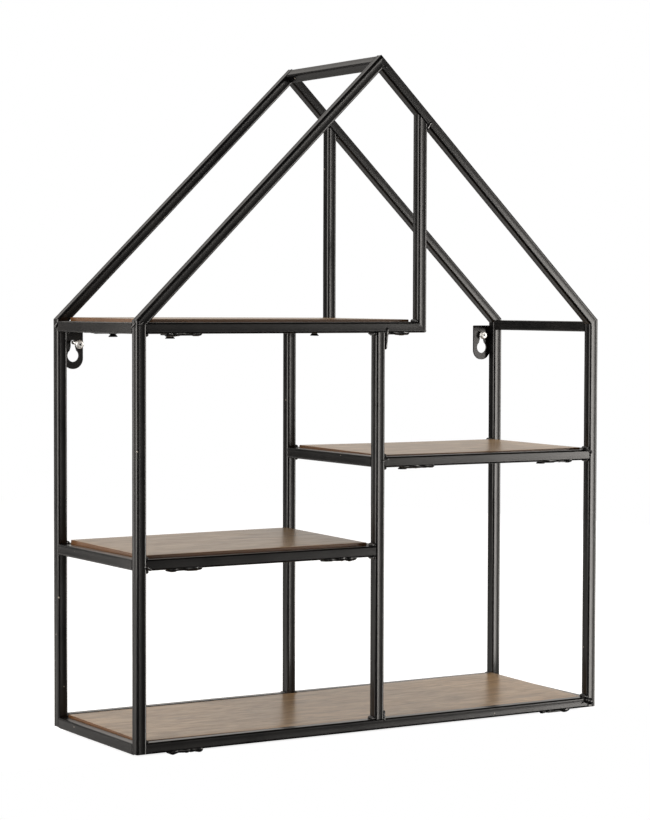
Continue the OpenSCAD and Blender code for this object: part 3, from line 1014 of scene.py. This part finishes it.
# turned screw: a half section spun about Z, a cross recess cut into its face, which looks
# down, and a thread wound on the shank
def makeScrewTree(m):
    tree, given = newShape("turnedScrew", {
        "Sides": "Int", "Recess Width": "Float", "Recess Reach": "Float",
        "Recess Depth": "Float", "Face Level": "Float", "Thread Turns": "Float",
        "Thread Radius": "Float", "Thread Start": "Float", "Thread Pitch": "Float",
        "Thread Height": "Float", "Material": "Material"})
    rows = addNode(tree, "GeometryNodeAttributeDomainSize", {"component": "MESH"},
                   links={0: given["Geometry"]})
    grid = addNode(tree, "GeometryNodeMeshGrid", values={"Size X": 1.0, "Size Y": 1.0},
                   links={"Vertices X": given["Sides"],
                          "Vertices Y": rows.outputs["Point Count"]})
    index = addNode(tree, "GeometryNodeInputIndex").outputs[0]
    column = addNode(tree, "ShaderNodeMath", {"operation": "DIVIDE"},
                     links={0: index, 1: rows.outputs["Point Count"]})
    whole = addNode(tree, "ShaderNodeMath", {"operation": "FLOOR"}, links={0: column})
    row = addNode(tree, "ShaderNodeMath", {"operation": "MODULO"},
                  links={0: index, 1: rows.outputs["Point Count"]})
    here = addNode(tree, "GeometryNodeInputPosition")
    section = addNode(tree, "GeometryNodeSampleIndex",
                      {"data_type": "FLOAT_VECTOR", "domain": "POINT"},
                      links={0: given["Geometry"], "Value": here, "Index": row})
    last = addNode(tree, "ShaderNodeMath", {"operation": "SUBTRACT"}, {1: 1.0},
                   {0: given["Sides"]})
    turn = addNode(tree, "ShaderNodeMath", {"operation": "DIVIDE"}, links={0: whole, 1: last})
    angle = addNode(tree, "ShaderNodeMath", {"operation": "MULTIPLY"}, {1: 2 * math.pi},
                    {0: turn})
    spun = addNode(tree, "ShaderNodeVectorRotate", {"rotation_type": "Z_AXIS"},
                   links={"Vector": section, "Angle": angle})
    lathe = addNode(tree, "GeometryNodeSetPosition", links={0: grid, "Position": spun})
    closed = addNode(tree, "GeometryNodeMergeByDistance", values={"Distance": 0.001 * mm},
                     links={0: lathe})
    # cross recess: two tapered four-sided pins
    pinEnd = addNode(tree, "ShaderNodeMath", {"operation": "MULTIPLY"}, {1: m["pinTaper"]},
                     {0: given["Recess Reach"]})
    pin = addNode(tree, "GeometryNodeMeshCone", values={"Vertices": 4, "Side Segments": 1},
                  links={"Radius Top": pinEnd, "Radius Bottom": given["Recess Reach"],
                         "Depth": given["Recess Depth"]})
    squared = addNode(tree, "GeometryNodeTransform", values={"Rotation": (0, 0, math.pi / 4)},
                      links={0: pin})
    narrow = addNode(tree, "ShaderNodeMath", {"operation": "DIVIDE"},
                     links={0: given["Recess Width"], 1: given["Recess Reach"]})
    level = addNode(tree, "ShaderNodeCombineXYZ", links={"Z": given["Face Level"]})
    cutters = addNode(tree, "GeometryNodeJoinGeometry")
    for x, y in ((1, 0), (0, 1)):
        size = addNode(tree, "ShaderNodeCombineXYZ", values={"X": 1.0, "Y": 1.0, "Z": 1.0},
                       links={"Y" if x else "X": narrow})
        blade = addNode(tree, "GeometryNodeTransform",
                        links={0: squared, "Scale": size, "Translation": level})
        tree.links.new(blade.outputs[0], cutters.inputs[0])
    recessed = addNode(tree, "GeometryNodeMeshBoolean",
                       {"operation": "DIFFERENCE", "solver": "EXACT"},
                       {"Self Intersection": True}, {"Mesh 1": closed, "Mesh 2": cutters})
    # thread: a diamond section swept along a helix
    rise = addNode(tree, "ShaderNodeMath", {"operation": "MULTIPLY"},
                   links={0: given["Thread Turns"], 1: given["Thread Pitch"]})
    helix = addNode(tree, "GeometryNodeCurveSpiral", values={"Resolution": 20},
                    links={"Rotations": given["Thread Turns"],
                           "Start Radius": given["Thread Radius"],
                           "End Radius": given["Thread Radius"], "Height": rise})
    upright = addNode(tree, "GeometryNodeSetCurveNormal", {"mode": "Z_UP"},
                      links={"Curve": helix})
    ridge = addNode(tree, "GeometryNodeCurvePrimitiveCircle", {"mode": "RADIUS"},
                    {"Resolution": 4}, {"Radius": given["Thread Height"]})
    thread = addNode(tree, "GeometryNodeCurveToMesh", values={"Fill Caps": True},
                     links={"Curve": upright, "Profile Curve": ridge})
    startLevel = addNode(tree, "ShaderNodeCombineXYZ", links={"Z": given["Thread Start"]})
    wound = addNode(tree, "GeometryNodeTransform", links={0: thread, "Translation": startLevel})
    both = addNode(tree, "GeometryNodeJoinGeometry", links={0: recessed})
    tree.links.new(wound.outputs[0], both.inputs[0])
    closeShape(tree, both, given["Material"])
    return tree


# one screw set at each point of the base mesh, turned by the point's "turn" vector
def makeSetTree():
    tree, given = newShape("screwsInPlace", {"Screw": "Object", "Material": "Material"})
    screw = addNode(tree, "GeometryNodeObjectInfo", links={"Object": given["Screw"]})
    turn = addNode(tree, "GeometryNodeInputNamedAttribute", {"data_type": "FLOAT_VECTOR"},
                   {"Name": "turn"})
    rotation = addNode(tree, "FunctionNodeEulerToRotation", links={0: turn})
    points = addNode(tree, "GeometryNodeMeshToPoints", links={0: given["Geometry"]})
    placed = addNode(tree, "GeometryNodeInstanceOnPoints",
                     links={"Points": points, "Instance": screw.outputs["Geometry"],
                            "Rotation": rotation})
    closeShape(tree, placed, given["Material"])
    return tree


# countersunk board screw, seen from below: its flat face stands proud of the tab
boardScrew = {
    "headRadius": 4.5,
    "shankRadius": 2.0,
    "coneHeight": 2.59,
    "rimHeight": 0.6,
    "shankHidden": 6.0,
    "recessWidth": 0.95,
    "recessReach": 2.5,
    "recessDepth": 3.4,
    "threadTurns": 1.0,     # a short thread, hidden in the board
    "threadShare": 0.5,     # its radius, as a share of the shank's
    "threadStart": 2.0,
    "threadHeight": 0.3,
    "pitch": 1.0,
    "tilt": 0.03,           # radians; none was driven quite straight
    "seed": 4,
}

# pan-head wall screw with a coarse thread
wallScrew = {
    "headRadius": 4.3,
    "headHeight": 2.6,
    "shoulder": 1.6,
    "coreRadius": 1.4,
    "threadRadius": 1.42,
    "threadHeight": 0.55,
    "pitch": 1.8,
    "plainLength": 2.4,
    "length": 19.0,         # the photograph shows no tip beside the right plate
    "tip": 3.5,
    "recessWidth": 0.85,
    "recessReach": 2.4,
    "recessDepth": 3.6,
    "cross": 0.6,           # radians, how the recess is turned
    "droop": (0.12, 0.0),   # radians, left and right: the one that stands further out hangs
}


def recessOf(c, face):
    return {"Sides": screwMake["sides"] + 1, "Recess Width": c["recessWidth"] * mm,
            "Recess Reach": c["recessReach"] * mm, "Recess Depth": c["recessDepth"] * mm,
            "Face Level": (face - c["recessDepth"] * screwMake["pinProud"]) * mm}


def finishScrews(name, points, turns, single, setTree, material, replaced, slot):
    base = baseMesh(name, points, attributes={"turn": turns})
    piece = growPiece(name, base, setTree, {"Screw": single, "Material": material})
    bpy.data.objects.remove(single)
    piece.data.shade_smooth()
    piece.data.set_sharp_from_angle(angle=math.radians(screwMake["sharpAngle"]))
    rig.ride(piece, "root")
    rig.replaces(piece, *replaced)
    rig.slot(piece, slot)


def makeBoardScrews(c, screwTree, setTree, material):
    head, shank = c["headRadius"], c["shankRadius"]
    face = -c["coneHeight"] - c["rimHeight"]
    # dished face, rounded rim, cone, and the shank as far as it is drawn: (radius, height)
    profile = [(0, face + 0.15), (head - 1.2, face + 0.04), (head - 0.3, face),
               (head - 0.06, face + 0.1), (head, face + 0.3), (head - 0.08, -c["coneHeight"]),
               (shank + 0.3, -0.15), (shank, 0.2), (shank, c["shankHidden"]),
               (0, c["shankHidden"])]
    base = baseMesh("boardScrewSection", [(r, 0, z) for r, z in profile])
    single = growPiece("boardScrew", base, screwTree, {
        **recessOf(c, face), "Thread Turns": c["threadTurns"],
        "Thread Radius": shank * c["threadShare"] * mm, "Thread Pitch": c["pitch"] * mm,
        "Thread Start": c["threadStart"] * mm, "Thread Height": c["threadHeight"] * mm,
        "Material": material})
    rng = np.random.default_rng(c["seed"])
    points, turns = [], []
    names = [name for name in frame["nodes"] if name.startswith("screws_")]
    for name in names:
        low, high = nodeBox(name)
        for x in (low[0] + head, high[0] - head):
            for y in (low[1] + head, high[1] - head):
                points.append((x, y, low[2] - face))
                turns.append((*rng.uniform(-c["tilt"], c["tilt"], 2), rng.uniform(0, math.pi)))
    finishScrews("board_screws", points, turns, single, setTree, material,
                 names, "black_screws")
    print("board screws:", len(points))


def makeWallScrews(c, screwTree, setTree, material):
    head, core, face = c["headRadius"], c["coreRadius"], -c["headHeight"]
    bend = c["shoulder"]
    shoulder = [(head - bend * (1 - math.sin(a)), face + bend * (1 - math.cos(a)))
                for a in np.linspace(0, math.pi / 2, 7)]
    # flat face, round shoulder, underside, plain neck and threaded core: (radius, height)
    profile = [(0, face)] + shoulder + [
        (head, -0.12), (head - 0.15, 0), (core + 0.6, 0), (core + 0.35, 0.3),
        (core + 0.3, c["plainLength"]), (core, c["plainLength"] + 0.5),
        (core, c["length"] - c["tip"]), (0, c["length"])]
    base = baseMesh("wallScrewSection", [(r, 0, z) for r, z in profile])
    threadTurns = (c["length"] - c["tip"] - c["plainLength"]) / c["pitch"]
    single = growPiece("wallScrew", base, screwTree, {
        **recessOf(c, face), "Thread Turns": threadTurns,
        "Thread Radius": c["threadRadius"] * mm, "Thread Pitch": c["pitch"] * mm,
        "Thread Start": c["plainLength"] * mm, "Thread Height": c["threadHeight"] * mm,
        "Material": material})
    points, turns = [], []
    solids = sorted(nodeSolids("wall_screws"), key=lambda solid: solid[:, 0].min())
    for solid, droop in zip(solids, c["droop"]):
        low, high = solid.min(axis=0), solid.max(axis=0)
        out = low[1] + c["headHeight"]
        turn = Matrix.Rotation(droop, 3, "X") @ Euler((-math.pi / 2, c["cross"], 0)).to_matrix()
        drop = out * math.sin(droop)
        points.append(((low[0] + high[0]) / 2, out, (low[2] + high[2]) / 2 + drop))
        turns.append(tuple(turn.to_euler()))
    finishScrews("wall_screws_zinc", points, turns, single, setTree, material,
                 ["wall_screws"], "zinc_screws")
    print("wall screws:", len(points))


screwTree = makeScrewTree(screwMake)
setTree = makeSetTree()
makeBoardScrews(boardScrew, screwTree, setTree, screwBlack)
makeWallScrews(wallScrew, screwTree, setTree, zinc)

# weld beads: each follows one bead of the frame, from a chain of overlapping drops
weldBead = {
    "radiusShare": 0.62,    # of the leg of the frame's bead
    "heartShare": 0.6,      # how far a bead's line lies towards its corner
    "over": 1.2,            # how far a bead runs past the flat of the tube at each end
    "step": 0.45,           # from drop to drop
    "ripple": 0.1,
    "rippleMm": 1.2,
    "wobble": 0.22,
    "wobbleScale": 420.0,   # per m, so that its waves are 2.4 mm long
    "voxel": 0.52,
    "tabOver": 8.0,         # how far a tab's weld runs past the tab
    "tabSpots": 7,
    "tabRadius": (1.5, 3.1),
    "tabInset": (1.0, 2.2),     # from the tab's outer edge
    "tabSway": 0.5,             # up and down
    "seed": 11,
    # lumps left where a joint was gone over again: ends (x, y, z) and radius at each, mm
    "lumps": [
        ((7.2, -177.6, 386), (6.6, -178.2, 368), 3.3, 1.4),         # middle post, at its top
        ((53.2, -178.2, 583), (57, -178.2, 588), 2.6, 2.2),         # upper post and rafter, front
        ((53.2, -2.0, 583), (57, -2.0, 588), 2.6, 2.2),             # and rear
        ((249, -178.0, 262.2), (257, -178.2, 259), 1.8, 2.7),       # middle right rail, right end
        ((250, -178.4, 252.6), (257, -178.2, 255), 1.2, 2.2),
        ((2.5, -177.8, 257.5), (8.5, -178.2, 259.5), 3.2, 2.4),     # and left end
        ((252.5, -178.2, 2.6), (259, -178.2, 0.6), 3.5, 3.9),       # bottom right corner
        ((247, -179.0, -1), (251, -179.0, 1.5), 1.4, 1.8),
        ((5.4, -178.6, 4), (6.0, -178.8, 12), 1.9, 1.2),            # foot of the middle post
        ((-261.5, -179.6, 391.5), (-259, -179.6, 393.5), 1.2, 1.0), # left eave
        ((-268.0, -176.5, 389), (-266, -178.5, 392), 0.9, 1.0),
        ((3.0, -179.6, 641), (4.6, -179.6, 639.4), 1.1, 1.2),       # apex
        ((-266, -8, 388), (-265.6, -10, 391), 1.4, 1.0),            # rear left eave
        ((-255, -179.4, 168), (-251, -179.4, 166.2), 2.2, 1.6),     # lower left rail, left end
        ((262, -3.4, 5.5), (257, -3.6, 7.5), 2.2, 1.8),             # rear right corner
    ],
}


def makeBeadTree(w):
    tree, given = newShape("weldBeads", {
        "Step": "Float", "Ripple": "Float", "Ripple Length": "Float", "Wobble": "Float",
        "Voxel": "Float", "Material": "Material"})
    chains = addNode(tree, "GeometryNodeMeshToCurve", links={0: given["Geometry"]})
    drops = addNode(tree, "GeometryNodeResampleCurve", {"mode": "LENGTH"},
                    links={"Curve": chains, "Length": given["Step"]})
    points = addNode(tree, "GeometryNodeCurveToPoints", {"mode": "EVALUATED"}, links={0: drops})
    here = addNode(tree, "GeometryNodeInputPosition").outputs[0]
    drift = addNode(tree, "ShaderNodeTexNoise", values={"Scale": w["wobbleScale"], "Detail": 1.0},
                    links={"Vector": here})
    centred = addNode(tree, "ShaderNodeVectorMath", {"operation": "SUBTRACT"},
                      {1: (0.5, 0.5, 0.5)}, {0: drift.outputs["Color"]})
    offset = addNode(tree, "ShaderNodeVectorMath", {"operation": "SCALE"},
                     links={0: centred, "Scale": given["Wobble"]})
    moved = addNode(tree, "GeometryNodeSetPosition", links={0: points, "Offset": offset})
    size = addNode(tree, "GeometryNodeInputNamedAttribute", {"data_type": "FLOAT"},
                   {"Name": "beadRadius"})
    along = addNode(tree, "ShaderNodeSeparateXYZ", links={0: here})
    phase = addNode(tree, "ShaderNodeMath", {"operation": "DIVIDE"},
                    links={0: along.outputs["Y"], 1: given["Ripple Length"]})
    full = addNode(tree, "ShaderNodeMath", {"operation": "MULTIPLY"}, {1: 2 * math.pi},
                   {0: phase})
    wave = addNode(tree, "ShaderNodeMath", {"operation": "SINE"}, links={0: full})
    swell = addNode(tree, "ShaderNodeMath", {"operation": "MULTIPLY_ADD"}, {2: 1.0},
                    {0: wave, 1: given["Ripple"]})
    radius = addNode(tree, "ShaderNodeMath", {"operation": "MULTIPLY"}, links={0: size, 1: swell})
    cloud = addNode(tree, "GeometryNodePointsToVolume", {"resolution_mode": "VOXEL_SIZE"},
                    {"Density": 1.0},
                    {"Points": moved, "Voxel Size": given["Voxel"], "Radius": radius})
    skin = addNode(tree, "GeometryNodeVolumeToMesh", {"resolution_mode": "VOXEL_SIZE"},
                   {"Threshold": 0.1}, {"Volume": cloud, "Voxel Size": given["Voxel"]})
    smooth = addNode(tree, "GeometryNodeSetShadeSmooth", links={0: skin})
    closeShape(tree, smooth, given["Material"])
    return tree


def makeWelds(w, material):
    points, edges, radii = [], [], []
    rng = np.random.default_rng(w["seed"])

    def chain(spots, sizes):
        edges.extend((len(points) + i, len(points) + i + 1) for i in range(len(spots) - 1))
        points.extend(spots)
        radii.extend(size * mm for size in sizes)

    for solid in nodeSolids("weld_beads"):
        low, high = solid.min(axis=0), solid.max(axis=0)
        leg = min(high[0] - low[0], high[2] - low[2])
        middle = (low + high) / 2
        heart = middle + (solid.mean(axis=0) - middle) * w["heartShare"]
        chain([(heart[0], y, heart[2]) for y in (low[1] - w["over"], high[1] + w["over"])],
              [leg * w["radiusShare"]] * 2)
    for start, end, startRadius, endRadius in w["lumps"]:
        chain([start, end], [startRadius, endRadius])
    # each tab is welded along the outer edge of its rail
    for name in [name for name in frame["nodes"] if name.startswith("tabs_")]:
        for solid in nodeSolids(name):
            low, high = solid.min(axis=0), solid.max(axis=0)
            inward = 1 if low[1] + high[1] < sum(nodeBox(name)[i][1] for i in (0, 1)) else -1
            outer = low[1] if inward > 0 else high[1]
            across = np.linspace(low[0] - w["tabOver"], high[0] + w["tabOver"], w["tabSpots"])
            spots = [(x, outer + inward * rng.uniform(*w["tabInset"]),
                      high[2] + rng.uniform(-w["tabSway"], w["tabSway"])) for x in across]
            chain(spots, rng.uniform(*w["tabRadius"], len(across)))
    base = baseMesh("weldLines", points, edges, {"beadRadius": radii})
    piece = growPiece("laid_weld_beads", base, makeBeadTree(w), {
        "Step": w["step"] * mm, "Ripple": w["ripple"], "Ripple Length": w["rippleMm"] * mm,
        "Wobble": w["wobble"] * mm, "Voxel": w["voxel"] * mm, "Material": material})
    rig.ride(piece, "root")
    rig.replaces(piece, "weld_beads")
    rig.slot(piece, "weld_metal")
    print("weld lines:", len(edges), "faces:", len(piece.data.polygons))


makeWelds(weldBead, weldBlack)

# studio: pale floor, grey backdrop behind and to the right, an unlit room on the other sides,
# so that the gloss on the tubes has a dark side, and four soft boxes. The camera itself sees
# the floor and the backdrop as white
studio = {
    "lightColor": "#fffaf4",
    "floorColor": "#b8b8b8",
    "floorCenter": (0.0, 1.12),
    "floorRadius": 1.65,
    "floorSides": 96,
    "floorGap": 0.2,          # mm, under the shelf
    "floorFront": -0.022,     # the floor ends just under the front rail, which would mirror it
    "floorGlow": 0.86,        # lifts the floor to white for the camera
    "floorGlowInGloss": 0.02,
    "backdropOnMatt": 0.95,   # share of the backdrop's light that matt surfaces get
    "backdropToward": (0.5, 0.82, 0.27),    # middle of the backdrop
    "backdropEdge": (0.62, 0.86),           # cosine of its soft edge, outer and inner
    "backdropLevel": 0.62,
    "roomLevel": 0.01,        # what the gloss sees in front of the shelf
    "boxes": [
        # middle in m, width and height in m, light leaving it, white = 1
        {"name": "softBoxRight", "at": (9.61, -7.27, -0.5), "size": (6.9, 4.2), "level": 9.0},
        {"name": "softBoxLeft", "at": (-1.15, 0.3, 0.9), "size": (1.48, 1.76), "level": 1.95},
        {"name": "softBoxSide", "at": (-1.6, -0.5, 0.9), "size": (1.0, 1.76), "level": 5.5},
    ],
    # overhead bank, kept out of the gloss so that the top corners of the rails stay black
    "overhead": {"name": "overheadBank", "at": (2.0, -0.1, 2.1), "size": (2.2, 2.2),
                 "level": 3.3},
}


def makeFloor(s, z, front):
    middle, reach = s["floorCenter"], s["floorRadius"]
    mesh = bpy.data.meshes.new("floor")
    rim = [(middle[0] + reach * math.cos(a), max(front, middle[1] + reach * math.sin(a)), z)
           for a in np.linspace(0, 2 * math.pi, s["floorSides"] + 1)[:-1]]
    mesh.from_pydata(rim, [], [list(range(len(rim)))])
    floor = bpy.data.objects.new("floor", mesh)
    scene.collection.objects.link(floor)
    material, tree = newMaterial("paleFloor")
    path = addNode(tree, "ShaderNodeLightPath")
    matt = addNode(tree, "ShaderNodeBsdfDiffuse", values={"Color": hexColor(s["floorColor"])})
    seen = addNode(tree, "ShaderNodeMath", {"operation": "MAXIMUM"},
                   links={0: path.outputs["Is Camera Ray"],
                          1: path.outputs["Is Transmission Ray"]})
    toEye = addNode(tree, "ShaderNodeMath", {"operation": "MULTIPLY"}, {1: s["floorGlow"]},
                    {0: seen})
    toGloss = addNode(tree, "ShaderNodeMath", {"operation": "MULTIPLY"},
                      {1: s["floorGlowInGloss"]}, {0: path.outputs["Is Glossy Ray"]})
    level = addNode(tree, "ShaderNodeMath", {"operation": "ADD"}, links={0: toEye, 1: toGloss})
    glow = addNode(tree, "ShaderNodeEmission", values={"Color": (1, 1, 1, 1)},
                   links={"Strength": level})
    closeMaterial(tree, addNode(tree, "ShaderNodeAddShader", links={0: matt, 1: glow}))
    mesh.materials.append(material)
    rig.stage(floor)


def makeWorld(s):
    world = bpy.data.worlds.new("studio")
    world.use_nodes = True
    scene.world = world
    tree = world.node_tree
    tree.nodes.clear()
    path = addNode(tree, "ShaderNodeLightPath")
    toward = addNode(tree, "ShaderNodeTexCoord").outputs["Generated"]
    facing = addNode(tree, "ShaderNodeVectorMath", {"operation": "DOT_PRODUCT"},
                     {1: Vector(s["backdropToward"]).normalized()}, {0: toward})
    backdrop = addNode(tree, "ShaderNodeMapRange", {"interpolation_type": "SMOOTHSTEP"},
                       {"From Min": s["backdropEdge"][0], "From Max": s["backdropEdge"][1],
                        "To Min": s["roomLevel"], "To Max": s["backdropLevel"]},
                       {"Value": facing.outputs["Value"]})
    matt = addNode(tree, "ShaderNodeMath", {"operation": "MULTIPLY"}, {1: s["backdropOnMatt"]},
                   {0: backdrop})
    gloss = addNode(tree, "ShaderNodeMix", {"data_type": "FLOAT"},
                    links={0: path.outputs["Is Glossy Ray"], 2: matt, 3: backdrop})
    seen = addNode(tree, "ShaderNodeMath", {"operation": "MAXIMUM"},
                   links={0: path.outputs["Is Camera Ray"],
                          1: path.outputs["Is Transmission Ray"]})
    level = addNode(tree, "ShaderNodeMix", {"data_type": "FLOAT"}, {3: 1.0},
                    {0: seen, 2: gloss})
    tint = addNode(tree, "ShaderNodeMix", {"data_type": "RGBA"},
                   {6: hexColor(s["lightColor"]), 7: (1, 1, 1, 1)}, {0: seen})
    sky = addNode(tree, "ShaderNodeBackground",
                  links={"Color": tint.outputs[2], "Strength": level})
    addNode(tree, "ShaderNodeOutputWorld", links={"Surface": sky})


def makeSoftBox(box, color, target):
    data = bpy.data.lights.new(box["name"], "AREA")
    data.shape = "RECTANGLE"
    data.size, data.size_y = box["size"]
    data.energy = math.pi * data.size * data.size_y * box["level"]
    data.color = hexColor(color)[:3]
    lamp = bpy.data.objects.new(box["name"], data)
    at = Vector(box["at"])
    lamp.location = at
    if target:
        flat = Vector((target[0] - at.x, target[1] - at.y, 0))
        lamp.rotation_euler = flat.to_track_quat("-Z", "Y").to_euler()
    lamp.visible_camera = False
    lamp.visible_glossy = target is not None
    scene.collection.objects.link(lamp)


def makeStudio(s):
    low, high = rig.bounds()
    makeFloor(s, low[2] - s["floorGap"] * mm, low[1] - s["floorFront"])
    makeWorld(s)
    for box in s["boxes"]:
        makeSoftBox(box, s["lightColor"], ((low[0] + high[0]) / 2, (low[1] + high[1]) / 2))
    makeSoftBox(s["overhead"], s["lightColor"], None)


makeStudio(studio)
scene.view_settings.view_transform = "Standard"
print("studio ready")

logSize()
sizeLog.close()
